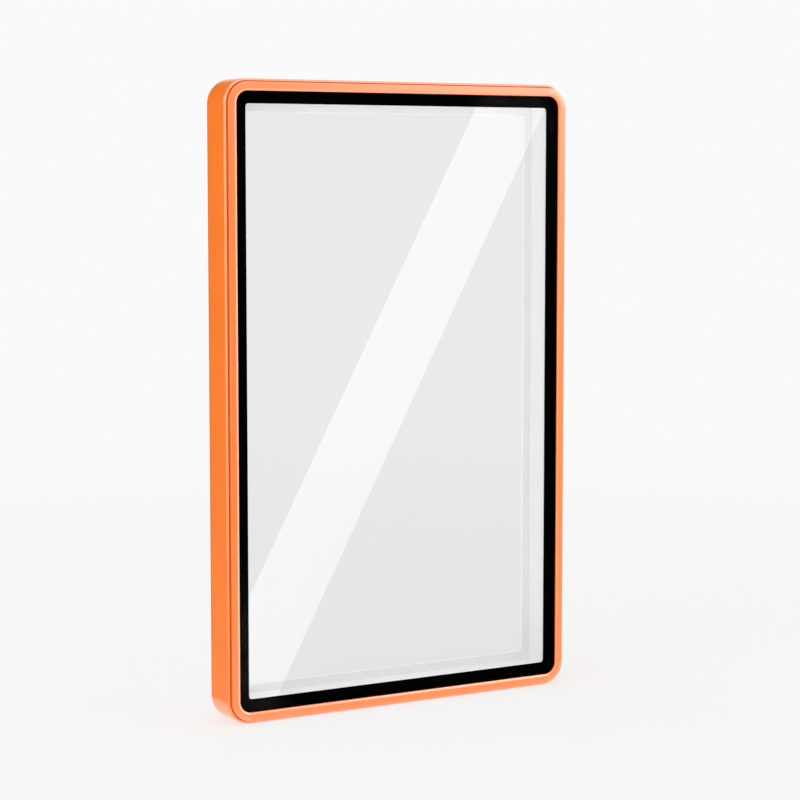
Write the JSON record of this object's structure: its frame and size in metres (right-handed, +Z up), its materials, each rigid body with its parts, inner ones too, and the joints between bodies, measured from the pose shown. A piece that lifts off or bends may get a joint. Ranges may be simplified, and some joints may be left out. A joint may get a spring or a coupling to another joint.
{
  "type": "trading card display case",
  "caption": "Slim upright display case for a graded trading card slab, with orange anodised aluminium frames, clear windows with a black border and hidden magnets.",
  "frame": {"origin": "middle of the base, on the surface that the case stands on", "axes": "+Z up, +X to the right seen from the front, -Y out of the front (the cover's side), +Y out of the back"},
  "size_m": [0.0926, 0.012, 0.1472],
  "materials": {
    "anodised_aluminium": "satin, bead-blasted and anodised orange",
    "clear_acrylic": "polished clear acrylic sheet",
    "black_print": "opaque black screen print on the back of the window",
    "bonding_tape": "black acrylic foam tape",
    "frosted_silicone": "frosted, moulded",
    "nickel_plate": "satin nickel plate on neodymium"
  },
  "bodies": {
    "case": {"case_frame": "anodised_aluminium", "case_window": "clear_acrylic", "case_window_tape": "bonding_tape", "slab_liner": "frosted_silicone", "case_magnet_left_high": "nickel_plate", "case_magnet_left_middle": "nickel_plate", "case_magnet_left_low": "nickel_plate", "case_magnet_right_high": "nickel_plate", "case_magnet_right_middle": "nickel_plate", "case_magnet_right_low": "nickel_plate", "case_magnet_top": "nickel_plate", "case_magnet_bottom": "nickel_plate"},
    "cover": {"cover_frame": "anodised_aluminium", "cover_window": "clear_acrylic", "cover_window_border": "black_print", "cover_window_tape": "bonding_tape", "cover_magnet_left_high": "nickel_plate", "cover_magnet_left_middle": "nickel_plate", "cover_magnet_left_low": "nickel_plate", "cover_magnet_right_high": "nickel_plate", "cover_magnet_right_middle": "nickel_plate", "cover_magnet_right_low": "nickel_plate", "cover_magnet_top": "nickel_plate", "cover_magnet_bottom": "nickel_plate"}
  },
  "joints": [
    {"name": "cover_lift", "type": "slide", "parent": "case", "child": "cover", "axis": [0, -1, 0], "range_m": [0, 0.04]}
  ]
}
